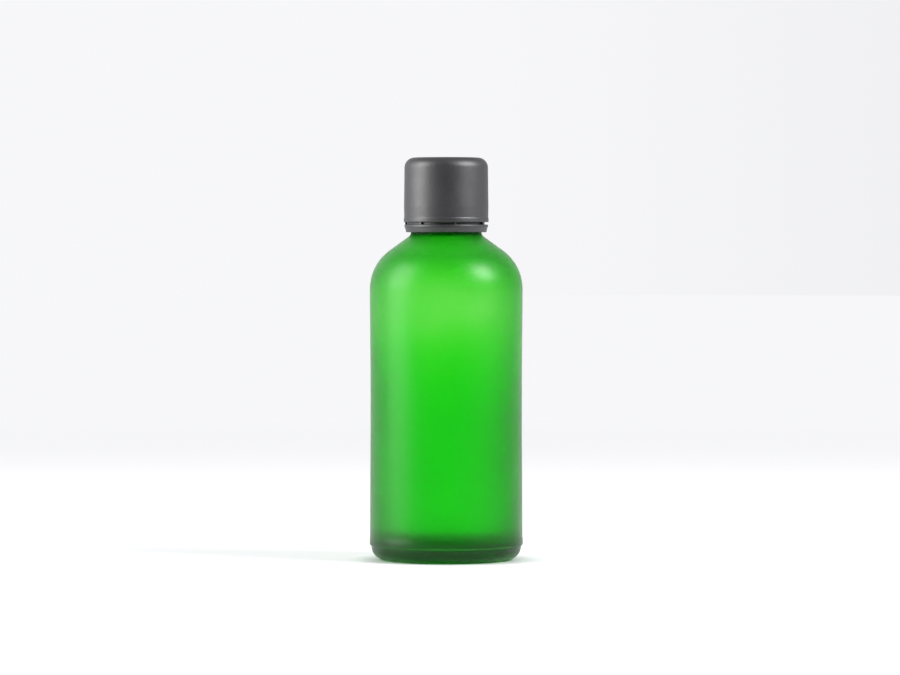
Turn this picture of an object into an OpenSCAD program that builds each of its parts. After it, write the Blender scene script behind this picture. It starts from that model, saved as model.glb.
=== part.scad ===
// Round glass bottle of the 100 ml size, with a tamper-evident screw cap.
// Millimetres, +Z up. The origin is the centre of the foot, on the table.

/* [Body] */
// Diameter of the upper contact band, where the body meets the shoulder
body_d = 44.56; // [44.3:0.02:45]
// How far the label panel is drawn in from the contact band, on the radius
panel_in = 0.19; // [0.05:0.01:0.3]
// How far the bead above the heel stands out from the contact band
foot_bead = 0.11; // [0.05:0.01:0.2]
// Diameter of the heel, under the step
heel_d = 43.76; // [43.4:0.02:44]
// Height of the step between the heel and the body
heel_step_z = 4.2; // [4:0.1:5]
// Radius of the heel's round edge
heel_r = 4.0; // [3:0.1:4]
// Width of the flat ring that the bottle stands on
foot_ring_w = 2.2; // [1.5:0.1:3]
// Height of the push-up under the base
push_up = 2.0; // [1:0.1:2.5]
// Height at which the shoulder starts
shoulder_z = 79; // [78:0.5:80]
// Radius of the shoulder's round
shoulder_r = 13.8; // [13:0.1:14.5]
// Slope of the upper shoulder above the horizontal, in degrees
shoulder_slope = 36; // [34:1:38]
// Radius of the hollow round between shoulder and neck
neck_fillet = 2.0; // [1.5:0.1:2.2]

/* [Glass inside] */
// Thickness of the lower side wall
lower_wall = 2.65; // [2.2:0.05:2.8]
// Thickness of the upper side wall
upper_wall = 1.0; // [0.9:0.05:1.6]
// Thickness of the slope under the neck
shoulder_wall = 1.7; // [1.5:0.1:2.2]
// Height at which the side wall starts to thin
thick_z = 43.5; // [40:0.5:46]
// Height at which the side wall has thinned
thin_z = 68.5; // [64:0.5:72]
// Height of the inside floor at its edge
floor_z = 3.4; // [3.2:0.1:4.6]
// How far the inside floor rises at its centre
floor_rise = 0.9; // [0.4:0.1:1.4]
// Radius of the round between floor and side wall
floor_r = 6.5; // [5:0.5:9]
// Radius of the round between shoulder and side wall, inside
inner_shoulder_r = 12.0; // [11:0.5:13]
// Diameter of the bore through the neck
bore_d = 13.2; // [12.8:0.1:13.6]

/* [Neck finish] */
// Diameter of the neck below the locking bead
neck_d = 20.5; // [20.3:0.1:20.7]
// Diameter of the neck between the threads
finish_d = 19.6; // [19.4:0.1:19.8]
// Diameter over the threads
thread_d = 21.6; // [21.4:0.1:21.7]
// Diameter of the bead that locks the tamper band
lock_bead_d = 21.8; // [21.6:0.1:21.9]
// Height of the middle of the locking bead
lock_bead_z = 97.65; // [97.5:0.05:97.8]
// Radius of the locking bead's section
lock_bead_r = 0.55; // [0.4:0.05:0.6]
// Height of the rim
rim_z = 113.3; // [113:0.1:113.5]
// Rise of the thread in one turn
pitch = 3.175; // [3.1:0.005:3.25]
// Turns of thread on the glass
glass_turns = 1.75; // [1:0.25:2]
// Depth of the glass thread's upper end below the rim
thread_start = 2.7; // [2.4:0.1:3.2]
// Width of the glass thread at its foot
glass_thread_w = 2.5; // [2.2:0.1:2.6]
// Width of the glass thread at its tip
glass_tip_w = 1.0; // [0.8:0.1:1.2]

/* [Cap] */
// Height of the top of the cap
cap_top_z = 117.26; // [117:0.02:117.6]
// Height of the lower edge of the cap
cap_edge_z = 98.45; // [98.3:0.05:98.6]
// Diameter at the top of the cap's side
cap_top_d = 24.3; // [24.1:0.02:24.4]
// Diameter at the foot of the cap's side
cap_foot_d = 24.64; // [24.5:0.02:24.8]
// Diameter of the flared edge
cap_flare_d = 24.76; // [24.7:0.02:24.9]
// Radius of the cap's top corner
cap_corner_r = 2.95; // [2.4:0.05:3.2]
// Diameter inside, between the threads
cap_bore_d = 22.1; // [22:0.05:22.2]
// Diameter inside, over the tips of the threads
cap_thread_d = 20.1; // [20:0.05:20.4]
// Turns of thread in the cap
cap_turns = 2.0; // [1:0.25:2.25]
// Width of the cap thread at its foot
cap_thread_w = 2.0; // [1.8:0.1:2.1]
// Width of the cap thread at its tip
cap_tip_w = 0.8; // [0.6:0.1:0.9]

/* [Tamper band] */
// Height of the band's top edge
band_top_z = 97.75; // [97.6:0.05:97.8]
// Height of the band's lower edge
band_foot_z = 95.5; // [95.4:0.05:95.7]
// Diameter of the band at its top
band_top_d = 24.4; // [24.2:0.02:24.6]
// Diameter of the band at its lower edge
band_foot_d = 23.4; // [23.2:0.02:23.6]
// Diameter inside the band's locking lip
band_lip_d = 21.0; // [20.9:0.05:21.1]
// Number of bridges across the slit
bridge_count = 7; // [5:2:7]
// Width of one bridge
bridge_w = 0.7; // [0.5:0.1:0.9]

/* [Insert and liner] */
// Thickness of the insert's flange
flange_t = 0.9; // [0.7:0.1:1]
// Diameter of the insert's flange
flange_d = 19.2; // [18.6:0.1:19.4]
// Diameter over the insert's sealing ribs, a press fit in the bore
rib_d = 13.3; // [13.25:0.01:13.35]
// Length of the insert's plug
plug_l = 9.0; // [7:0.5:10]
// Distance from one sealing rib to the next
rib_pitch = 1.6; // [1.4:0.1:1.8]
// Diameter of the pouring hole
pour_d = 4.4; // [4.2:0.1:4.6]
// Diameter of the pouring nozzle at its top
nozzle_d = 5.6; // [5.4:0.1:5.8]
// Diameter of the well around the nozzle
well_d = 9.8; // [9:0.1:10]
// Depth of the well below the flange's top
well_depth = 3.4; // [2.5:0.1:4]
// Diameter of the hollow under the plug
hollow_d = 10.8; // [10:0.1:11]
// Diameter of the air vent
vent_d = 1.1; // [0.9:0.1:1.2]
// Thickness of the liner
liner_t = 1.4; // [1.2:0.1:1.5]
// Diameter of the liner
liner_d = 21.4; // [21:0.1:21.5]

/* [Hidden] */
$fn = 96;

play = 0.06;        // gap on each face of the liner, and where a bridge parts
body_r = body_d / 2;
heel_rad = heel_d / 2;
neck_r = neck_d / 2;
finish_r = finish_d / 2;
bore_r = bore_d / 2;
foot_r = heel_rad - heel_r;
flange_top_z = rim_z + flange_t;
liner_z = flange_top_z + play;
cap_roof_z = liner_z + liner_t + play;
glass_thread_z = rim_z - thread_start;   // upper end of the glass thread
cap_lead = 3.2;                          // puts the cap thread midway between the glass turns
cap_thread_z = glass_thread_z - pitch * 1.5 + cap_lead;
plug_r = bore_r - 0.1;
seat_z = rim_z - plug_l;
well_floor = flange_top_z - well_depth;
web_t = 1.0;                             // plastic under the well
bead_gap = 0.08;                         // between locking bead and band
band_inner_r = lock_bead_d / 2 + bead_gap;
slit_lip_r = cap_bore_d / 2 + 0.15;      // thin inner lip that closes the slit
slit_lip_z = cap_edge_z - play;
bridge_inner_r = slit_lip_r + 0.05;
bead_foot = 0.7;                         // the locking bead runs out below its middle,
bead_slope = 1.7;                        // and with a longer slope above it

// An arc as points about (cr, cz), from angle a to angle b
function arc(cr, cz, r, a, b, n = 10) =
    [for (i = [0:n]) let (t = a + (b - a) * i / n) [cr + r * cos(t), cz + r * sin(t)]];

// A shallow dome as points, from the axis at height top down to radius r
function dome(r, low, rise, n = 5) =
    [for (i = [0:n]) let (x = r * i / n) [x, low + rise * (1 - pow(x / r, 2))]];

// Height at which the shoulder's slope would reach radius r, if it went on
function slope_at(r, inwards = 0) =
    shoulder_z + shoulder_r * tan((90 - shoulder_slope) / 2)
    + (body_r - r) * tan(shoulder_slope) - inwards / cos(shoulder_slope);

// Points of a shoulder: a round from side_r, then the slope, then a round into
// the neck of radius throat_r. inwards is how far the slope lies inside the outer one.
function shoulder(side_r, round_r, fillet, throat_r, inwards = 0) =
    let (turn = 90 - shoulder_slope,
         round_z = slope_at(side_r, inwards) - round_r * tan(turn / 2),
         fillet_z = slope_at(throat_r, inwards) + fillet * tan(turn / 2))
    concat(arc(side_r - round_r, round_z, round_r, 0, turn, 14),
           arc(throat_r + fillet, fillet_z, fillet, 180 + turn, 180, 6));

// A smooth change from radius r1 below height z1 to radius r2 above height z2
function ease(r1, z1, r2, z2, n = 10) =
    [for (i = [0:n]) let (t = i / n) [r1 + (r2 - r1) * t * t * (3 - 2 * t), z1 + (z2 - z1) * t]];

module lathe(points) { rotate_extrude($fn = 96) polygon(points); }

// A helical ridge from radius root to radius tip, which rises by pitch in one
// turn. Its height fades to nothing over the last part of each end.
module ridge(root, tip, foot_w, tip_w, top_z, turns, fade = 40, steps = 40) {
    count = round(turns * steps);
    function grow(i) = min(1, min(i, count - i) * 360 / steps / fade);
    function ring(i) =
        let (a = -360 * (count - i) / steps, z = top_z + pitch * a / 360, g = grow(i),
             r = root + (tip - root) * (0.1 + 0.9 * g), w = tip_w * (0.3 + 0.7 * g))
        [for (p = [[root, -foot_w / 2], [r, -w / 2], [r, w / 2], [root, foot_w / 2]])
            [p[0] * cos(a), p[0] * sin(a), z + p[1]]];
    points = [for (i = [0:count]) each ring(i)];
    inward = tip < root;
    sides = [for (i = [0:count - 1], k = [0:3])
        let (a = 4 * i + k, b = 4 * i + (k + 1) % 4, c = b + 4, d = a + 4)
        each (inward ? [[a, c, b], [a, d, c]] : [[a, b, c], [a, c, d]])];
    last = 4 * count;
    ends = inward ? [[0, 1, 2, 3], [last + 3, last + 2, last + 1, last]]
                  : [[3, 2, 1, 0], [last, last + 1, last + 2, last + 3]];
    polyhedron(points = points, faces = concat(sides, ends), convexity = 6);
}

module glass_bottle() {
    panel_r = body_r - panel_in;
    bead_r = body_r + foot_bead;
    lower_r = panel_r - lower_wall;
    edge = 0.45;                         // round of the heel step
    lip = 0.5;                           // rounds of the rim, outside and inside
    mouth = 0.6;
    throat_fillet = 3.0;
    outside = concat(
        dome(foot_r - foot_ring_w, 0, push_up),
        arc(foot_r, heel_r, heel_r, -90, 0, 10),
        arc(bead_r - edge, heel_step_z + edge, edge, -90, 0, 4),
        [[bead_r, 5.5], [body_r, 7.0], [panel_r, 37], [panel_r, 55], [body_r, 75]],
        shoulder(body_r, shoulder_r, neck_fillet, neck_r),
        [[neck_r, lock_bead_z - bead_foot]],
        arc(lock_bead_d / 2 - lock_bead_r, lock_bead_z, lock_bead_r, -60, 60, 6),
        [[finish_r, lock_bead_z + bead_slope]],
        arc(finish_r - lip, rim_z - lip, lip, 0, 90, 4),
        [[0, rim_z]]);
    inside = concat(
        dome(lower_r - floor_r, floor_z, floor_rise),
        arc(lower_r - floor_r, floor_z + floor_r, floor_r, -80, 0, 8),
        ease(lower_r, thick_z, body_r - upper_wall, thin_z),
        shoulder(body_r - upper_wall, inner_shoulder_r, throat_fillet, bore_r, shoulder_wall),
        arc(bore_r + mouth, rim_z - mouth, mouth, 180, 90, 4),
        [[bore_r + mouth, rim_z + 1], [0, rim_z + 1]]);
    color("seagreen") difference() {
        union() {
            lathe(outside);
            ridge(finish_r - 0.3, thread_d / 2, glass_thread_w, glass_tip_w,
                  glass_thread_z, glass_turns);
        }
        lathe(inside);
    }
}

module pour_insert() {
    rib_h = 0.9;
    first_rib = seat_z + 1.8;
    taper = 0.6;                         // the plug's end, so that it starts in the bore
    vent_r = (well_d + nozzle_d) / 4 + 0.1;
    outside = concat(
        [[0, seat_z], [plug_r - taper, seat_z], [plug_r, seat_z + 2 * taper]],
        [for (k = [0:2], p = [[plug_r, 0], [rib_d / 2, 1], [rib_d / 2, 2], [plug_r, 3]])
            [p[0], first_rib + rib_pitch * k + p[1] * rib_h / 3]],
        [[plug_r, rim_z - 0.7], [bore_r + 0.6, rim_z], [flange_d / 2, rim_z],
         [flange_d / 2, flange_top_z - 0.2], [flange_d / 2 - 0.2, flange_top_z],
         [0, flange_top_z]]);
    color("whitesmoke") difference() {
        lathe(outside);
        // well that drains back, with the pouring nozzle left standing in it
        lathe([[nozzle_d / 2 + 0.2, well_floor], [well_d / 2, well_floor],
               [well_d / 2 + 0.4, flange_top_z + 1], [0, flange_top_z + 1],
               [0, flange_top_z - 0.4], [nozzle_d / 2, flange_top_z - 0.4]]);
        cylinder(d = pour_d, h = rim_z + 10);
        // hollow underside of the plug
        translate([0, 0, seat_z - 1])
            cylinder(d = hollow_d, h = well_floor - web_t - seat_z + 1);
        // air vent
        translate([vent_r, 0, well_floor - 2 * web_t]) cylinder(d = vent_d, h = 3 * web_t);
    }
}

module cap_liner() {
    liner_r = liner_d / 2;
    color("white") translate([0, 0, liner_z]) lathe([
        [0, 0], [liner_r - 0.15, 0], [liner_r, 0.15], [liner_r, liner_t - 0.15],
        [liner_r - 0.15, liner_t], [0, liner_t]]);
}

module screw_cap() {
    top_r = cap_top_d / 2;
    foot_r = cap_foot_d / 2;
    flare_r = cap_flare_d / 2;
    outside = concat(
        [[0, cap_edge_z], [flare_r - 0.15, cap_edge_z], [flare_r, cap_edge_z + 0.15],
         [flare_r, cap_edge_z + 1.1], [foot_r - 0.06, cap_edge_z + 1.4],
         [foot_r - 0.06, cap_edge_z + 1.8], [foot_r, cap_edge_z + 4.5],
         [(top_r + foot_r) / 2, cap_edge_z + 10]],
        arc(top_r - cap_corner_r, cap_top_z - cap_corner_r, cap_corner_r, 0, 90, 10),
        [[0, cap_top_z]]);
    bore_r = cap_bore_d / 2;
    chamfer = 0.1;
    inside = [[0, cap_edge_z - 1], [bore_r + chamfer + 1, cap_edge_z - 1],
              [bore_r, cap_edge_z + chamfer], [bore_r, cap_roof_z - 0.5],
              [bore_r - 0.5, cap_roof_z], [0, cap_roof_z]];
    color([0.14, 0.14, 0.15]) union() {
        difference() {
            lathe(outside);
            lathe(inside);
        }
        ridge(bore_r + 0.3, cap_thread_d / 2, cap_thread_w, cap_tip_w,
              cap_thread_z, cap_turns);
    }
}

module tamper_band() {
    top_r = band_top_d / 2;
    lip_r = band_lip_d / 2;
    color([0.14, 0.14, 0.15]) lathe([
        [lip_r + 0.25, band_foot_z], [band_foot_d / 2, band_foot_z],
        [top_r - 0.14, band_top_z - 0.8], [top_r, band_top_z - 0.7],
        [top_r, band_top_z - 0.3], [top_r - 0.1, band_top_z - 0.08], [top_r - 0.3, band_top_z],
        [slit_lip_r, band_top_z], [slit_lip_r, slit_lip_z], [band_inner_r, slit_lip_z],
        [band_inner_r, band_foot_z + 1.35], [lip_r, band_foot_z + 1.1], [lip_r, band_foot_z + 0.4]]);
}

// Each bridge narrows upwards, and is parted from the cap where it snaps
module tamper_bridges() {
    outer_r = band_top_d / 2 - 0.2;
    bridge_h = cap_edge_z - play - band_top_z;
    foot = bridge_w / 2;
    tip = foot * 0.6;
    color([0.14, 0.14, 0.15])
        for (k = [0:bridge_count - 1]) rotate([0, 0, 180 + k * 360 / bridge_count])
            translate([bridge_inner_r, 0, band_top_z]) rotate([90, 0, 90])
                linear_extrude(outer_r - bridge_inner_r)
                    polygon([[-foot, 0], [foot, 0], [tip, bridge_h], [-tip, bridge_h]]);
}

glass_bottle();
pour_insert();
cap_liner();
screw_cap();
tamper_band();
tamper_bridges();
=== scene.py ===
import math

import bmesh
import bpy
from mathutils import Matrix, Vector


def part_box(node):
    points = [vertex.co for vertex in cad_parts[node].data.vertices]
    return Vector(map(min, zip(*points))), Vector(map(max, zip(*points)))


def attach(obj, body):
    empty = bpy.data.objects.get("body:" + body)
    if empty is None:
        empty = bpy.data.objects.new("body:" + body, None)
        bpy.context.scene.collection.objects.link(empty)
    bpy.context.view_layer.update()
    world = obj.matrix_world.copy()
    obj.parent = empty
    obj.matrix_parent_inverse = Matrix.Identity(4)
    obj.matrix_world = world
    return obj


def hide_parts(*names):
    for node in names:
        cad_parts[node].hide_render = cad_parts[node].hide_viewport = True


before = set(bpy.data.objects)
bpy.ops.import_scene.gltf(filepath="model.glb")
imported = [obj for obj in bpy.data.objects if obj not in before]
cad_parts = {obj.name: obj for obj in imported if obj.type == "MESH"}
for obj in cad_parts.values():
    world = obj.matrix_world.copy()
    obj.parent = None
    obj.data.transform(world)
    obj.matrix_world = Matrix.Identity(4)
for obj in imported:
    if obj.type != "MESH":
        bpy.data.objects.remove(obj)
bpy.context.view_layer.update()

MM = 0.001


def span(node):
    """Largest radius, foot height and top height of a turned CAD node, in millimetres."""
    low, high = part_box(node)
    return high.x / MM, low.z / MM, high.z / MM


# ---------------------------------------------------------------- camera

CAMERA_DISTANCE = 1.25
CAMERA_HEIGHT = 0.0932
AIM = (0.0011, 0.0, 0.0648)      # the bottle stands a little left of the middle
LENS_MM = 171.4


def aim(obj, target):
    obj.rotation_euler = (Vector(target) - obj.location).to_track_quat("-Z", "Y").to_euler()


camera_data = bpy.data.cameras.new("camera")
camera_data.lens = LENS_MM
camera_data.sensor_width = 36.0
camera_data.clip_start = 0.05
camera = bpy.data.objects.new("camera", camera_data)
camera.location = (AIM[0], -CAMERA_DISTANCE, CAMERA_HEIGHT)
aim(camera, AIM)
bpy.context.collection.objects.link(camera)
bpy.context.scene.camera = camera


# ---------------------------------------------------------------- nodes and colours

def linear(hex_colour):
    """An sRGB hex colour as linear RGBA."""
    values = [int(hex_colour[i:i + 2], 16) / 255 for i in (1, 3, 5)]
    return (*[v / 12.92 if v <= 0.04045 else ((v + 0.055) / 1.055) ** 2.4 for v in values], 1.0)


def add(tree, kind, inputs=None, **settings):
    """Adds one node. inputs gives each input a value or the socket that feeds it."""
    node = tree.nodes.new(kind)
    for name, value in settings.items():
        setattr(node, name, value)
    for key, source in (inputs or {}).items():
        if isinstance(source, bpy.types.NodeSocket):
            tree.links.new(source, node.inputs[key])
        else:
            node.inputs[key].default_value = source
    return node


def material(name):
    """A new material with only an output node; returns the material, its tree and the output."""
    made = bpy.data.materials.new(name)
    made.use_nodes = True
    tree = made.node_tree
    tree.nodes.clear()
    return made, tree, tree.nodes.new("ShaderNodeOutputMaterial")


# Green soda-lime glass, 2 mm of which lets through most green light and hardly
# any red or blue: thick places, such as the foot and the limbs, look darker.
GLASS_TINT = "#8DF933"
GLASS_DENSITY_PER_M = 1500.0
GLASS_IOR = 1.52
ETCH_ROUGHNESS = 0.36
INSIDE_ROUGHNESS = 0.52
ETCH_MIRRORING = "#B4B4B4"       # grey: mirrors less, straight on, than polished glass


def green_glass():
    """Soda-lime glass, acid-etched outside and hazed inside. The etch is a fine
    even grain that blurs what is behind it and spreads the lights into soft bands."""
    made, tree, output = material("acid_etched_green_glass")
    place = add(tree, "ShaderNodeTexCoord").outputs["Object"]
    inside = add(tree, "ShaderNodeAttribute", attribute_name="inside").outputs["Fac"]
    rough = add(tree, "ShaderNodeMapRange",
                {"Value": inside, "To Min": ETCH_ROUGHNESS, "To Max": INSIDE_ROUGHNESS})
    # etch grain of about 0.02 mm, drawn at 0.45 mm so that it shows
    grain = add(tree, "ShaderNodeTexNoise",
                {"Vector": place, "Scale": 1 / (0.45 * MM), "Detail": 2.0, "Roughness": 0.6})
    etched = add(tree, "ShaderNodeMapRange",
                 {"Value": inside, "To Min": 0.7, "To Max": 0.0})
    bump = add(tree, "ShaderNodeBump",
               {"Height": grain.outputs["Fac"], "Strength": etched.outputs["Result"],
                "Distance": 0.05 * MM})
    shader = add(tree, "ShaderNodeBsdfPrincipled",
                 {"Base Color": linear("#FFFFFF"), "Roughness": rough.outputs["Result"],
                  "IOR": GLASS_IOR, "Transmission Weight": 1.0,
                  "Specular Tint": linear(ETCH_MIRRORING),
                  "Normal": bump.outputs["Normal"]})
    tree.links.new(shader.outputs["BSDF"], output.inputs["Surface"])
    volume = add(tree, "ShaderNodeVolumeAbsorption",
                 {"Color": linear(GLASS_TINT), "Density": GLASS_DENSITY_PER_M})
    tree.links.new(volume.outputs["Volume"], output.inputs["Volume"])
    return made


def black_polypropylene():
    """Injection-moulded black polypropylene off a fine spark-eroded mould: satin,
    with a very fine grain and slightly uneven gloss from handling."""
    made, tree, output = material("black_polypropylene")
    place = add(tree, "ShaderNodeTexCoord").outputs["Object"]
    # spark grain of about 0.05 mm, drawn at 0.4 mm so that it shows
    grain = add(tree, "ShaderNodeTexNoise",
                {"Vector": place, "Scale": 1 / (0.4 * MM), "Detail": 3.0, "Roughness": 0.65})
    bump = add(tree, "ShaderNodeBump",
               {"Height": grain.outputs["Fac"], "Strength": 0.8, "Distance": 0.06 * MM})
    patches = add(tree, "ShaderNodeTexNoise",
                  {"Vector": place, "Scale": 1 / (6 * MM), "Detail": 2.0})
    gloss = add(tree, "ShaderNodeMapRange",
                {"Value": patches.outputs["Fac"], "From Min": 0.3, "From Max": 0.7,
                 "To Min": 0.45, "To Max": 0.52})
    shader = add(tree, "ShaderNodeBsdfPrincipled",
                 {"Base Color": linear("#1B1A1E"), "IOR": 1.49, "Specular IOR Level": 1.0,
                  "Roughness": gloss.outputs["Result"], "Normal": bump.outputs["Normal"]})
    tree.links.new(shader.outputs["BSDF"], output.inputs["Surface"])
    return made


def natural_polyethylene():
    """Unpigmented moulded LDPE: milky, waxy, and soft at its edges."""
    made, tree, output = material("natural_polyethylene")
    place = add(tree, "ShaderNodeTexCoord").outputs["Object"]
    flow = add(tree, "ShaderNodeTexNoise",
               {"Vector": place, "Scale": 1 / (2.5 * MM), "Detail": 3.0})
    gloss = add(tree, "ShaderNodeMapRange",
                {"Value": flow.outputs["Fac"], "From Min": 0.3, "From Max": 0.7,
                 "To Min": 0.38, "To Max": 0.52})
    bump = add(tree, "ShaderNodeBump",
               {"Height": flow.outputs["Fac"], "Strength": 0.1, "Distance": 0.03 * MM})
    shader = add(tree, "ShaderNodeBsdfPrincipled",
                 {"Base Color": linear("#E2E6E2"), "IOR": 1.51,
                  "Roughness": gloss.outputs["Result"], "Normal": bump.outputs["Normal"],
                  "Subsurface Weight": 0.4, "Subsurface Radius": (1.0, 1.0, 0.9),
                  "Subsurface Scale": 1.2 * MM})
    tree.links.new(shader.outputs["BSDF"], output.inputs["Surface"])
    return made


def foam_polyethylene():
    """Closed-cell expanded polyethylene, cut from sheet: dull, with fine cells."""
    made, tree, output = material("expanded_polyethylene_foam")
    place = add(tree, "ShaderNodeTexCoord").outputs["Object"]
    cells = add(tree, "ShaderNodeTexVoronoi", {"Vector": place, "Scale": 1 / (0.45 * MM)})
    bump = add(tree, "ShaderNodeBump",
               {"Height": cells.outputs["Distance"], "Strength": 0.4, "Distance": 0.06 * MM})
    shade = add(tree, "ShaderNodeMix",
                {"Factor": cells.outputs["Distance"], "A": linear("#DADAD6"),
                 "B": linear("#F6F6F3")}, data_type="RGBA")
    shader = add(tree, "ShaderNodeBsdfPrincipled",
                 {"Base Color": shade.outputs["Result"], "Roughness": 0.75,
                  "Normal": bump.outputs["Normal"]})
    tree.links.new(shader.outputs["BSDF"], output.inputs["Surface"])
    return made


GREEN_GLASS = green_glass()
BLACK_PLASTIC = black_polypropylene()
INSERT_PLASTIC = natural_polyethylene()
FOAM = foam_polyethylene()


# ---------------------------------------------------------------- outlines

ARC_STEP = math.radians(6)
THREAD_STEP = 0.16               # mm between points where a thread rises out of the wall


def outline(corners, longest=1.0, fine=None):
    """Corners (radius, height, round) in millimetres as a smooth line of points. A
    round is an arc, and a straight longer than longest is divided, or longer than
    THREAD_STEP between the two heights in fine."""
    line = []
    for i, (r, z, rounding) in enumerate(corners):
        here = Vector((r, z))
        if not rounding:
            line.append(here)
            continue
        back = (Vector(corners[i - 1][:2]) - here).normalized()
        on = (Vector(corners[i + 1][:2]) - here).normalized()
        turn = math.pi - back.angle(on)
        reach = rounding * math.tan(turn / 2)
        centre = here + (back + on).normalized() * rounding / math.cos(turn / 2)
        spoke = here + back * reach - centre
        if spoke.cross(here + on * reach - centre) < 0:
            turn = -turn
        parts = max(3, math.ceil(abs(turn) / ARC_STEP))
        for k in range(parts + 1):
            angle = turn * k / parts
            line.append(centre + Vector((spoke.x * math.cos(angle) - spoke.y * math.sin(angle),
                                         spoke.x * math.sin(angle) + spoke.y * math.cos(angle))))
    points = [line[0]]
    for a, b in zip(line, line[1:]):
        threaded = fine and max(a.y, b.y) > fine[0] and min(a.y, b.y) < fine[1]
        parts = max(1, math.ceil((b - a).length / (THREAD_STEP if threaded else longest)))
        points += [a.lerp(b, k / parts) for k in range(1, parts + 1) if (b - a).length > 1e-6]
    return points


# ---------------------------------------------------------------- turned pieces

def turned_tree():
    """Geometry nodes that turn an outline about Z and raise a helical thread on the
    part of it that is marked threaded."""
    tree = bpy.data.node_groups.new("turned_piece", "GeometryNodeTree")
    face = tree.interface
    for name, kind in (("Outline", "Geometry"), ("Sides", "Int"), ("Thread Height", "Float"),
                       ("Thread Top", "Float"), ("Thread Pitch", "Float"),
                       ("Thread Turns", "Float"), ("Foot Width", "Float"),
                       ("Tip Width", "Float"), ("Uneven", "Float"),
                       ("Material", "Material")):
        face.new_socket(name, in_out="INPUT", socket_type="NodeSocket" + kind)
    face.new_socket("Geometry", in_out="OUTPUT", socket_type="NodeSocketGeometry")
    given = add(tree, "NodeGroupInput").outputs

    # a flat grid: one row for each point of the outline, one column for each side
    rows = add(tree, "GeometryNodeAttributeDomainSize",
               {"Geometry": given["Outline"]}).outputs["Point Count"]
    columns = add(tree, "ShaderNodeMath", {0: given["Sides"], 1: 1.0}, operation="ADD")
    grid = add(tree, "GeometryNodeMeshGrid",
               {"Vertices X": columns.outputs[0], "Vertices Y": rows})
    flat = add(tree, "ShaderNodeSeparateXYZ",
               {0: add(tree, "GeometryNodeInputPosition").outputs[0]})
    across = add(tree, "ShaderNodeMath", {0: flat.outputs["X"], 1: 0.5}, operation="ADD")
    angle = add(tree, "ShaderNodeMath", {0: across.outputs[0], 1: math.tau},
                operation="MULTIPLY").outputs[0]
    along = add(tree, "ShaderNodeMath", {0: flat.outputs["Y"], 1: 0.5}, operation="ADD")
    last = add(tree, "ShaderNodeMath", {0: rows, 1: 1.0}, operation="SUBTRACT")
    row = add(tree, "ShaderNodeMath", {0: along.outputs[0], 1: last.outputs[0]},
              operation="MULTIPLY")
    row = add(tree, "ShaderNodeMath", {0: row.outputs[0]}, operation="ROUND").outputs[0]
    sampled = {}
    for name in ("inside", "threaded", "radius", "height"):
        stored = add(tree, "GeometryNodeInputNamedAttribute", {"Name": name},
                     data_type="FLOAT")
        sampled[name] = add(tree, "GeometryNodeSampleIndex",
                            {"Geometry": given["Outline"], "Value": stored.outputs[0],
                             "Index": row}, data_type="FLOAT").outputs[0]

    # the nearest turn of the helix: how far round it is, and how far off it in height
    drop = add(tree, "ShaderNodeMath", {0: sampled["height"], 1: given["Thread Top"]},
               operation="SUBTRACT")
    on_helix = add(tree, "ShaderNodeMath", {0: drop.outputs[0], 1: given["Thread Pitch"]},
                   operation="DIVIDE")
    turned = add(tree, "ShaderNodeMath", {0: angle, 1: math.tau}, operation="DIVIDE")
    gap = add(tree, "ShaderNodeMath", {0: turned.outputs[0], 1: on_helix.outputs[0]},
              operation="SUBTRACT")
    whole = add(tree, "ShaderNodeMath", {0: gap.outputs[0]}, operation="ROUND")
    turn = add(tree, "ShaderNodeMath", {0: turned.outputs[0], 1: whole.outputs[0]},
               operation="SUBTRACT").outputs[0]
    off = add(tree, "ShaderNodeMath", {0: gap.outputs[0], 1: whole.outputs[0]},
              operation="SUBTRACT")
    off = add(tree, "ShaderNodeMath", {0: off.outputs[0]}, operation="ABSOLUTE")
    off = add(tree, "ShaderNodeMath", {0: off.outputs[0], 1: given["Thread Pitch"]},
              operation="MULTIPLY")
    half_foot = add(tree, "ShaderNodeMath", {0: given["Foot Width"], 1: 0.5},
                    operation="MULTIPLY")
    half_tip = add(tree, "ShaderNodeMath", {0: given["Tip Width"], 1: 0.5},
                   operation="MULTIPLY")
    flank = add(tree, "ShaderNodeMapRange",
                {"Value": off.outputs[0], "From Min": half_tip.outputs[0],
                 "From Max": half_foot.outputs[0], "To Min": 1.0, "To Max": 0.0},
                interpolation_type="SMOOTHSTEP")
    # each end of the thread fades over a ninth of a turn
    start = add(tree, "ShaderNodeMath", {0: turn, 1: given["Thread Turns"]}, operation="ADD")
    end = add(tree, "ShaderNodeMath", {0: turn, 1: -1.0}, operation="MULTIPLY")
    nearer = add(tree, "ShaderNodeMath", {0: start.outputs[0], 1: end.outputs[0]},
                 operation="MINIMUM")
    fade = add(tree, "ShaderNodeMapRange",
               {"Value": nearer.outputs[0], "From Min": 0.0, "From Max": 1 / 9},
               interpolation_type="SMOOTHSTEP")
    rise = add(tree, "ShaderNodeMath", {0: flank.outputs["Result"], 1: fade.outputs["Result"]},
               operation="MULTIPLY")
    rise = add(tree, "ShaderNodeMath", {0: rise.outputs[0], 1: sampled["threaded"]},
               operation="MULTIPLY")
    radius = add(tree, "ShaderNodeMath",
                 {0: rise.outputs[0], 1: given["Thread Height"], 2: sampled["radius"]},
                 operation="MULTIPLY_ADD").outputs[0]

    # roll the grid up into the turned shape
    cosine = add(tree, "ShaderNodeMath", {0: angle}, operation="COSINE")
    sine = add(tree, "ShaderNodeMath", {0: angle}, operation="SINE")
    x = add(tree, "ShaderNodeMath", {0: radius, 1: cosine.outputs[0]}, operation="MULTIPLY")
    y = add(tree, "ShaderNodeMath", {0: radius, 1: sine.outputs[0]}, operation="MULTIPLY")
    rolled = add(tree, "ShaderNodeCombineXYZ",
                 {"X": x.outputs[0], "Y": y.outputs[0], "Z": sampled["height"]})
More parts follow.
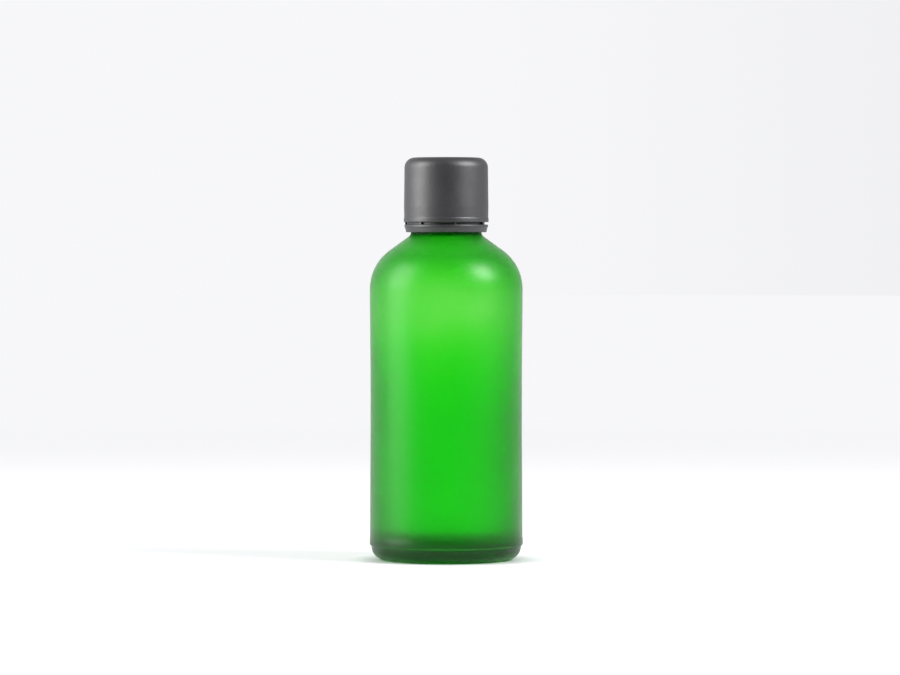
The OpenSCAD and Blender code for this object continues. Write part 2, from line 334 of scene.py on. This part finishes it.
    # blown walls are uneven inside: slow waves, none of them near the axis
    waves = add(tree, "ShaderNodeTexNoise",
                {"Vector": rolled.outputs[0], "Scale": 1 / (22 * MM), "Detail": 1.0})
    wave = add(tree, "ShaderNodeMapRange",
               {"Value": waves.outputs["Fac"], "From Min": 0.3, "From Max": 0.7,
                "To Min": -1.0, "To Max": 1.0})
    wide = add(tree, "ShaderNodeMapRange",
               {"Value": radius, "From Min": 8 * MM, "From Max": 18 * MM},
               interpolation_type="SMOOTHSTEP")
    swell = add(tree, "ShaderNodeMath", {0: wave.outputs["Result"], 1: wide.outputs["Result"]},
                operation="MULTIPLY")
    swell = add(tree, "ShaderNodeMath", {0: swell.outputs[0], 1: sampled["inside"]},
                operation="MULTIPLY")
    swell = add(tree, "ShaderNodeMath", {0: swell.outputs[0], 1: given["Uneven"]},
                operation="MULTIPLY")
    outwards = add(tree, "ShaderNodeCombineXYZ", {"X": cosine.outputs[0], "Y": sine.outputs[0]})
    shift = add(tree, "ShaderNodeVectorMath",
                {0: outwards.outputs[0], "Scale": swell.outputs[0]}, operation="SCALE")
    rolled = add(tree, "ShaderNodeVectorMath", {0: rolled.outputs[0], 1: shift.outputs[0]},
                 operation="ADD")
    marked = add(tree, "GeometryNodeStoreNamedAttribute",
                 {"Geometry": grid.outputs["Mesh"], "Name": "inside",
                  "Value": sampled["inside"]}, data_type="FLOAT", domain="POINT")
    moved = add(tree, "GeometryNodeSetPosition",
                {"Geometry": marked.outputs[0], "Position": rolled.outputs[0]})
    joined = add(tree, "GeometryNodeMergeByDistance",
                 {"Geometry": moved.outputs[0], "Distance": 0.002 * MM})
    smooth = add(tree, "GeometryNodeSetShadeSmooth", {"Geometry": joined.outputs[0]})
    real = add(tree, "GeometryNodeRealizeInstances", {"Geometry": smooth.outputs[0]})
    done = add(tree, "GeometryNodeSetMaterial",
               {"Geometry": real.outputs[0], "Material": given["Material"]})
    add(tree, "NodeGroupOutput", {"Geometry": done.outputs[0]})
    return tree


TURNED = turned_tree()


def bake(name, source, tree, values):
    """Runs a node tree on the source mesh with the given inputs, and returns the result
    as a plain object at the origin, closed and with its faces outwards."""
    maker = bpy.data.objects.new(name + "_maker", source)
    bpy.context.collection.objects.link(maker)
    modifier = maker.modifiers.new("nodes", "NODES")
    modifier.node_group = tree
    for item in tree.interface.items_tree:
        if item.in_out == "INPUT" and item.name in values:
            modifier[item.identifier] = values[item.name]
    shape = maker.evaluated_get(bpy.context.evaluated_depsgraph_get())
    mesh = bpy.data.meshes.new_from_object(shape)
    bpy.data.objects.remove(maker)
    mesh.name = name
    shell = bmesh.new()
    shell.from_mesh(mesh)
    bmesh.ops.dissolve_degenerate(shell, dist=1e-7, edges=shell.edges)
    bmesh.ops.recalc_face_normals(shell, faces=shell.faces)
    shell.to_mesh(mesh)
    shell.free()
    piece = bpy.data.objects.new(name, mesh)
    bpy.context.collection.objects.link(piece)
    return piece


def turn(name, parts, sides, surface, thread=None, fine=None):
    """A turned piece. parts are outlines in order along one line, each with a mark that
    says whether it is inside; thread gives the helix in millimetres."""
    points = [(p, mark) for line, mark in parts for p in line]
    mesh = bpy.data.meshes.new(name + "_outline")
    mesh.from_pydata([(p.x * MM, 0, p.y * MM) for p, _ in points],
                     [(i, i + 1) for i in range(len(points) - 1)], [])
    columns = {"radius": [p.x * MM for p, _ in points], "height": [p.y * MM for p, _ in points],
               "inside": [float(mark) for _, mark in points],
               "threaded": [float(bool(fine) and fine[2] == mark and fine[0] < p.y < fine[1])
                            for p, mark in points]}
    for label, column in columns.items():
        mesh.attributes.new(label, "FLOAT", "POINT").data.foreach_set("value", column)
    values = {"Sides": sides, "Material": surface, "Thread Pitch": MM}
    for label, size in (thread or {}).items():
        values[label] = size if label == "Thread Turns" else size * MM
    return bake(name, mesh, TURNED, values)


# ---------------------------------------------------------------- the glass bottle

BEAD_R, _, RIM_Z = span("glass_bottle")
BODY_R = BEAD_R - 0.11           # upper contact band
PANEL_R = BODY_R - 0.19          # label panel, drawn in so that a label can't rub
HEEL_R = BEAD_R - 0.51
HEEL_ROUND = 4.0
STEP_Z = 4.2
FOOT_RING_R = 15.3               # inner edge of the flat ring that the bottle stands on
PUSH_UP = 1.97
SHOULDER_SLOPE = math.tan(math.radians(36))
SHOULDER_ROUND = 13.8
SHOULDER_MEETS_NECK_Z = 94.77
NECK_FILLET = 2.0
NECK_R = 10.25
FINISH_R = 9.8
LOCK_BEAD_R = 10.9
LOCK_BEAD_Z = 97.65
THREADED_Z = (103, 112)
BORE_R = 6.6
THROAT_Z = 95.32                 # where the bore would meet the slope inside
LOWER_WALL = 2.65                # the blown wall is thickest below and thin above
UPPER_WALL = 1.0
THICK_Z, THIN_Z = 43.5, 68.5     # between them the wall thins
FLOOR_Z = 3.4
FLOOR_RISE = 0.9
FLOOR_ROUND = 6.5
PITCH = 3.175
GLASS_THREAD = {"Thread Height": 10.8 - FINISH_R, "Thread Top": RIM_Z - 2.7,
                "Thread Pitch": PITCH, "Thread Turns": 1.75, "Foot Width": 2.15,
                "Tip Width": 0.9, "Uneven": 0.3}


def dome(radius, low, rise, parts=14):
    """A shallow dome, from its top on the axis down to its edge."""
    return [Vector((radius * k / parts, low + rise * (1 - (k / parts) ** 2)))
            for k in range(parts + 1)]


def glass_bottle():
    outer = (dome(FOOT_RING_R - 0.1, 0.03, PUSH_UP) +
             outline([(FOOT_RING_R, 0, 0), (HEEL_R, 0, HEEL_ROUND), (HEEL_R, STEP_Z, 0.12),
                      (BEAD_R, STEP_Z, 0.42), (BEAD_R, 5.6, 0.6), (BODY_R, 7.0, 1.2),
                      (PANEL_R, 37, 300), (PANEL_R, 55, 300), (BODY_R, 75, 200),
                      (BODY_R, SHOULDER_MEETS_NECK_Z - (BODY_R - NECK_R) * SHOULDER_SLOPE,
                       SHOULDER_ROUND),
                      (NECK_R, SHOULDER_MEETS_NECK_Z, NECK_FILLET),
                      (NECK_R, LOCK_BEAD_Z - 0.65, 0.15), (LOCK_BEAD_R, LOCK_BEAD_Z - 0.5, 0.4),
                      (LOCK_BEAD_R, LOCK_BEAD_Z + 0.5, 0.4), (FINISH_R, 99.3, 0.8),
                      (FINISH_R, RIM_Z, 0.5), (BORE_R + 0.9, RIM_Z, 0)],
                     fine=THREADED_Z))
    lower_r, upper_r = PANEL_R - LOWER_WALL, BODY_R - UPPER_WALL
    inner = (outline([(BORE_R + 0.7, RIM_Z, 0), (BORE_R, RIM_Z, 0.6), (BORE_R, THROAT_Z, 3.0),
                      (upper_r, THROAT_Z - (upper_r - BORE_R) * SHOULDER_SLOPE, 12.0),
                      (upper_r, THIN_Z, 160), (lower_r, THICK_Z, 160),
                      (lower_r, FLOOR_Z, FLOOR_ROUND), (11.8, FLOOR_Z, 0)]) +
             list(reversed(dome(11.6, FLOOR_Z, FLOOR_RISE))))
    return turn("glass_bottle_satin", [(outer, 0), (inner, 1)], 256, GREEN_GLASS,
                thread=GLASS_THREAD, fine=(*THREADED_Z, 0))


glass = glass_bottle()
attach(glass, "bottle")
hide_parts("glass_bottle")


# ---------------------------------------------------------------- cap, band and bridges

FLARE_R, CAP_EDGE_Z, CAP_TOP_Z = span("screw_cap")
CAP_TOP_R = FLARE_R - 0.23
CAP_FOOT_R = FLARE_R - 0.06
CAP_CORNER_R = 2.95
CAP_BORE_R = 11.05
CAP_ROOF_Z = span("cap_liner")[2] + 0.06
CAP_THREAD = {"Thread Height": 10.05 - CAP_BORE_R,
              "Thread Top": RIM_Z - 2.7 - 1.5 * PITCH + 3.2,
              "Thread Pitch": PITCH, "Thread Turns": 2.0, "Foot Width": 1.72,
              "Tip Width": 0.7}


def screw_cap():
    outer = outline([(0, CAP_TOP_Z, 0), (CAP_TOP_R, CAP_TOP_Z, CAP_CORNER_R),
                     (CAP_TOP_R + 0.09, 108.5, 20), (CAP_FOOT_R, CAP_EDGE_Z + 4.5, 4),
                     (CAP_FOOT_R - 0.06, CAP_EDGE_Z + 1.75, 0.3),
                     (CAP_FOOT_R - 0.07, CAP_EDGE_Z + 1.35, 0.15),
                     (FLARE_R, CAP_EDGE_Z + 1.1, 0.2), (FLARE_R, CAP_EDGE_Z, 0.16),
                     (CAP_BORE_R + 0.7, CAP_EDGE_Z, 0)])
    inner = outline([(CAP_BORE_R + 0.5, CAP_EDGE_Z, 0), (CAP_BORE_R, CAP_EDGE_Z, 0.1),
                     (CAP_BORE_R, CAP_ROOF_Z, 0.5), (0, CAP_ROOF_Z, 0)], fine=(101, 111))
    return turn("screw_cap_shell", [(outer, 0), (inner, 1)], 192, BLACK_PLASTIC,
                thread=CAP_THREAD, fine=(100.5, 111.5, 1))


cap = screw_cap()
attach(cap, "cap")
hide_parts("screw_cap")

BAND_TOP_R, BAND_FOOT_Z, _ = span("tamper_band")
BAND_TOP_Z = span("tamper_bridges")[1]
BAND_LIP_R = 10.5
BAND_INNER_R = LOCK_BEAD_R + 0.08
SLIT_SHADE_LIP_R = CAP_BORE_R + 0.15   # thin black inner lip that closes the slit: a dark piece standing in for the shade there, so the lit green neck behind doesn't show
SLIT_SHADE_LIP_TOP = CAP_EDGE_Z - 0.01
BAND_FOOT_R = 11.7


def tamper_band():
    top = BAND_TOP_Z
    # the loop starts at the inner lip, a black piece that stands in for the shade in the slit
    # and reaches to just under the cap's edge
    loop = outline([(SLIT_SHADE_LIP_R, top + 0.3, 0), (SLIT_SHADE_LIP_R, SLIT_SHADE_LIP_TOP, 0.05),
                    (BAND_INNER_R, SLIT_SHADE_LIP_TOP, 0.05), (BAND_INNER_R, BAND_FOOT_Z + 1.3, 0.2),
                    (BAND_LIP_R, BAND_FOOT_Z + 1.1, 0.15),
                    (BAND_LIP_R, BAND_FOOT_Z + 0.4, 0.15), (BAND_LIP_R + 0.25, BAND_FOOT_Z, 0.1),
                    (BAND_FOOT_R, BAND_FOOT_Z, 0.12), (BAND_TOP_R - 0.15, top - 0.8, 0.1),
                    (BAND_TOP_R, top - 0.68, 0.08), (BAND_TOP_R, top, 0.3),
                    (SLIT_SHADE_LIP_R, top, 0.05), (SLIT_SHADE_LIP_R, top + 0.3, 0)], longest=0.4)
    return turn("tamper_band_ring", [(loop, 0)], 192, BLACK_PLASTIC)


band = tamper_band()
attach(band, "band")
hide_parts("tamper_band")


BRIDGE_COUNT = 7
BRIDGE_FOOT = 0.35               # half widths
BRIDGE_TIP = 0.21


def bridge_tree():
    """Geometry nodes that set one bridge at even places round the band, the first
    of them at -X."""
    tree = bpy.data.node_groups.new("bridges_round_band", "GeometryNodeTree")
    face = tree.interface
    for name, kind in (("Bridge", "Geometry"), ("Count", "Int"), ("Material", "Material")):
        face.new_socket(name, in_out="INPUT", socket_type="NodeSocket" + kind)
    face.new_socket("Geometry", in_out="OUTPUT", socket_type="NodeSocketGeometry")
    given = add(tree, "NodeGroupInput").outputs
    places = add(tree, "GeometryNodePoints", {"Count": given["Count"]})
    step = add(tree, "ShaderNodeMath", {0: math.tau, 1: given["Count"]}, operation="DIVIDE")
    angle = add(tree, "ShaderNodeMath",
                {0: add(tree, "GeometryNodeInputIndex").outputs[0], 1: step.outputs[0],
                 2: math.pi}, operation="MULTIPLY_ADD")
    facing = add(tree, "ShaderNodeCombineXYZ", {"Z": angle.outputs[0]})
    set_out = add(tree, "GeometryNodeInstanceOnPoints",
                  {"Points": places.outputs[0], "Instance": given["Bridge"],
                   "Rotation": facing.outputs[0]})
    real = add(tree, "GeometryNodeRealizeInstances", {"Geometry": set_out.outputs[0]})
    done = add(tree, "GeometryNodeSetMaterial",
               {"Geometry": real.outputs[0], "Material": given["Material"]})
    add(tree, "NodeGroupOutput", {"Geometry": done.outputs[0]})
    return tree


def tamper_bridges():
    """Small webs across the slit, narrower at the top, where they tear."""
    inner, outer = CAP_BORE_R + 0.2, BAND_TOP_R - 0.2
    low, high = span("tamper_bridges")[1:]
    web = bmesh.new()
    for z, half in ((low, BRIDGE_FOOT), (high, BRIDGE_TIP)):
        for x, y in ((inner, -half), (outer, -half), (outer, half), (inner, half)):
            web.verts.new((x * MM, y * MM, z * MM))
    bmesh.ops.convex_hull(web, input=web.verts)
    upright = [e for e in web.edges if abs(e.verts[0].co.z - e.verts[1].co.z) > 0.3 * MM]
    bmesh.ops.bevel(web, geom=upright, offset=0.06 * MM, segments=2, affect="EDGES",
                    profile=0.5)
    mesh = bpy.data.meshes.new("bridge")
    web.to_mesh(mesh)
    web.free()
    return bake("tamper_bridge_webs", mesh, bridge_tree(),
                {"Count": BRIDGE_COUNT, "Material": BLACK_PLASTIC})


bridges = tamper_bridges()
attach(bridges, "band")
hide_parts("tamper_bridges")


# ---------------------------------------------------------------- insert and liner

FLANGE_R, SEAT_Z, FLANGE_TOP_Z = span("pour_insert")
POUR_R = 2.2
NOZZLE_R = 2.8
HOLLOW_R = 5.4                   # under the plug
WELL_R = 4.9
WELL_DEPTH = 3.4
RIB_PITCH = 1.6


def pour_insert():
    """Plug with three sealing ribs, a flange, and a nozzle in a well."""
    plug_r = BORE_R - 0.1
    well_floor = FLANGE_TOP_Z - WELL_DEPTH
    hollow_top = well_floor - 1.0
    ribs = []
    for k in range(3):
        z = SEAT_Z + 1.8 + RIB_PITCH * k
        ribs += [(plug_r, z, 0.1), (plug_r + 0.15, z + 0.3, 0.1),
                 (plug_r + 0.15, z + 0.6, 0.1), (plug_r, z + 0.9, 0.1)]
    nozzle_top = FLANGE_TOP_Z - 0.4
    loop = outline([(POUR_R, hollow_top + 1.0, 0), (POUR_R, hollow_top, 0.2),
                    (HOLLOW_R, hollow_top, 0.5), (HOLLOW_R, SEAT_Z, 0.12),
                    (plug_r - 0.6, SEAT_Z, 0.15), (plug_r, SEAT_Z + 1.2, 0.6)] + ribs +
                   [(plug_r, RIM_Z - 0.7, 0.2), (BORE_R + 0.6, RIM_Z, 0.1),
                    (FLANGE_R, RIM_Z, 0.12), (FLANGE_R, FLANGE_TOP_Z, 0.25),
                    (WELL_R + 0.36, FLANGE_TOP_Z, 0.3), (WELL_R, well_floor, 0.5),
                    (NOZZLE_R + 0.2, well_floor, 0.4), (NOZZLE_R, nozzle_top, 0.2),
                    (POUR_R, nozzle_top, 0.15), (POUR_R, hollow_top + 1.0, 0)], longest=0.6)
    return turn("pour_insert_plug", [(loop, 0)], 128, INSERT_PLASTIC)


insert = pour_insert()
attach(insert, "bottle")
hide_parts("pour_insert")

LINER_R, LINER_Z, LINER_TOP_Z = span("cap_liner")
PRESSED_DEPTH = 0.12


def cap_liner():
    """Foam disc, with the ring that the insert's flange has pressed into it."""
    disc = outline([(0, LINER_Z, 0), (5.3, LINER_Z, 0.3), (5.6, LINER_Z + PRESSED_DEPTH, 0.3),
                    (9.2, LINER_Z + PRESSED_DEPTH, 0.3), (9.6, LINER_Z, 0.3),
                    (LINER_R, LINER_Z, 0.18), (LINER_R, LINER_TOP_Z, 0.18),
                    (0, LINER_TOP_Z, 0)], longest=0.8)
    return turn("cap_liner_disc", [(disc, 0)], 128, FOAM)


liner = cap_liner()
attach(liner, "liner")
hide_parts("cap_liner")


# ---------------------------------------------------------------- floor and light

BACKGROUND = 0.985               # brightness of the backdrop, overhead and of the room
CEILING = 0.55
ROOM = 0.02
STUDIO_WHITE = "#F9F9FB"
FLOOR_R = 6.0


def studio_floor():
    """White floor that takes the bottle's shadow, and fades into the background. Near the bottle
    it has a painted glow, left out under the foot as a painted contact shadow, and in front
    reflections see a painted dark room.
    """
    made, tree, output = material("white_studio_floor")
    place = add(tree, "ShaderNodeTexCoord").outputs["Object"]
    away = add(tree, "ShaderNodeVectorMath", {0: place}, operation="LENGTH")
    far = add(tree, "ShaderNodeMapRange",
              {"Value": away.outputs["Value"], "From Min": 0.25, "From Max": 1.0},
              interpolation_type="SMOOTHSTEP")
    # a little painted glow of its own, which stops close under the bottle's foot: a painted
    # contact shadow there
    painted_glow = add(tree, "ShaderNodeMapRange",
              {"Value": away.outputs["Value"], "From Min": 17 * MM, "From Max": 30 * MM,
               "To Min": 0.0, "To Max": 0.46}, interpolation_type="SMOOTHSTEP")
    near = add(tree, "ShaderNodeBsdfPrincipled",
               {"Base Color": linear("#BDBDBF"), "Roughness": 0.6,
                "Specular IOR Level": 0.15, "Emission Color": linear(STUDIO_WHITE),
                "Emission Strength": painted_glow.outputs["Result"]})
    glow = add(tree, "ShaderNodeEmission",
               {"Color": linear(STUDIO_WHITE), "Strength": BACKGROUND})
    mixed = add(tree, "ShaderNodeMixShader",
                {0: far.outputs["Result"], 1: near.outputs[0], 2: glow.outputs[0]})
    # painted reflection: in front the floor stays white to the camera, but reflection rays see
    # it as a dark room, so the bottle and cap mirror dark there
    ahead = add(tree, "ShaderNodeMapRange",
                {"Value": add(tree, "ShaderNodeSeparateXYZ", {0: place}).outputs["Y"],
                 "From Min": -0.34, "From Max": -0.40})
    mirrored = add(tree, "ShaderNodeMath",
                   {0: ahead.outputs["Result"],
                    1: add(tree, "ShaderNodeLightPath").outputs["Is Reflection Ray"]},
                   operation="MULTIPLY")
    dark = add(tree, "ShaderNodeEmission", {"Color": linear(STUDIO_WHITE), "Strength": ROOM})
    painted_dark_reflection = add(tree, "ShaderNodeMixShader",
                {0: mirrored.outputs[0], 1: mixed.outputs[0], 2: dark.outputs[0]})
    tree.links.new(painted_dark_reflection.outputs[0], output.inputs["Surface"])
    disc = bmesh.new()
    bmesh.ops.create_circle(disc, cap_ends=True, segments=96, radius=FLOOR_R)
    mesh = bpy.data.meshes.new("studio_floor")
    disc.to_mesh(mesh)
    disc.free()
    mesh.transform(Matrix.Translation((0, 0, -0.05 * MM)))
    mesh.materials.append(made)
    floor = bpy.data.objects.new("studio_floor", mesh)
    bpy.context.collection.objects.link(floor)


studio_floor()


def studio_world():
    """White backdrop, dimmer overhead and to the right. Reflections see it turn into
    a dark room on the camera's side."""
    world = bpy.data.worlds.new("studio")
    world.use_nodes = True
    tree = world.node_tree
    facing = add(tree, "ShaderNodeSeparateXYZ",
                 {0: add(tree, "ShaderNodeTexCoord").outputs["Generated"]}).outputs
    level = add(tree, "ShaderNodeMapRange",
                {"Value": facing["Y"], "From Min": -0.75, "From Max": 0.1,
                 "To Min": ROOM, "To Max": BACKGROUND}, interpolation_type="SMOOTHSTEP")
    overhead = add(tree, "ShaderNodeMapRange",
                   {"Value": facing["Z"], "From Min": 0.25, "From Max": 0.8,
                    "To Min": 1.0, "To Max": CEILING / BACKGROUND},
                   interpolation_type="SMOOTHSTEP")
    right = add(tree, "ShaderNodeMapRange",
                {"Value": facing["X"], "From Min": 0.0, "From Max": 0.9,
                 "To Min": 1.0, "To Max": 0.5})
    # only reflections see the dark side: beside the glass and through it the side is white
    seen = add(tree, "ShaderNodeMix",
               {"Factor": add(tree, "ShaderNodeLightPath").outputs["Is Reflection Ray"],
                "A": BACKGROUND, "B": level.outputs["Result"]}, data_type="FLOAT")
    strength = add(tree, "ShaderNodeMath", {0: seen.outputs["Result"],
                                            1: overhead.outputs["Result"]},
                   operation="MULTIPLY")
    strength = add(tree, "ShaderNodeMath", {0: strength.outputs[0],
                                            1: right.outputs["Result"]},
                   operation="MULTIPLY")
    sky = tree.nodes["Background"]
    sky.inputs["Color"].default_value = linear(STUDIO_WHITE)
    tree.links.new(strength.outputs[0], sky.inputs["Strength"])
    world.cycles.sampling_method = "NONE"    # the backdrop is even, so rays find it
    bpy.context.scene.world = world


studio_world()
bpy.context.scene.view_settings.view_transform = "Standard"


def soft_box(name, azimuth, height, distance, width, tall, radiance):
    """A soft box at an azimuth from the camera's side, positive to the right."""
    data = bpy.data.lights.new(name, "AREA")
    data.shape = "RECTANGLE"
    data.size, data.size_y = width, tall
    data.energy = radiance * math.pi * width * tall
    lamp = bpy.data.objects.new(name, data)
    angle = math.radians(azimuth)
    lamp.location = (math.sin(angle) * distance, -math.cos(angle) * distance, height)
    aim(lamp, (0, 0, height * 0.6 + 0.03))
    lamp.visible_camera = False
    bpy.context.collection.objects.link(lamp)


soft_box("left_soft_box", -77, height=0.46, distance=0.80, width=0.56, tall=0.80, radiance=8.0)
soft_box("right_soft_box", 66, height=0.66, distance=0.80, width=0.36, tall=0.50, radiance=26.0)
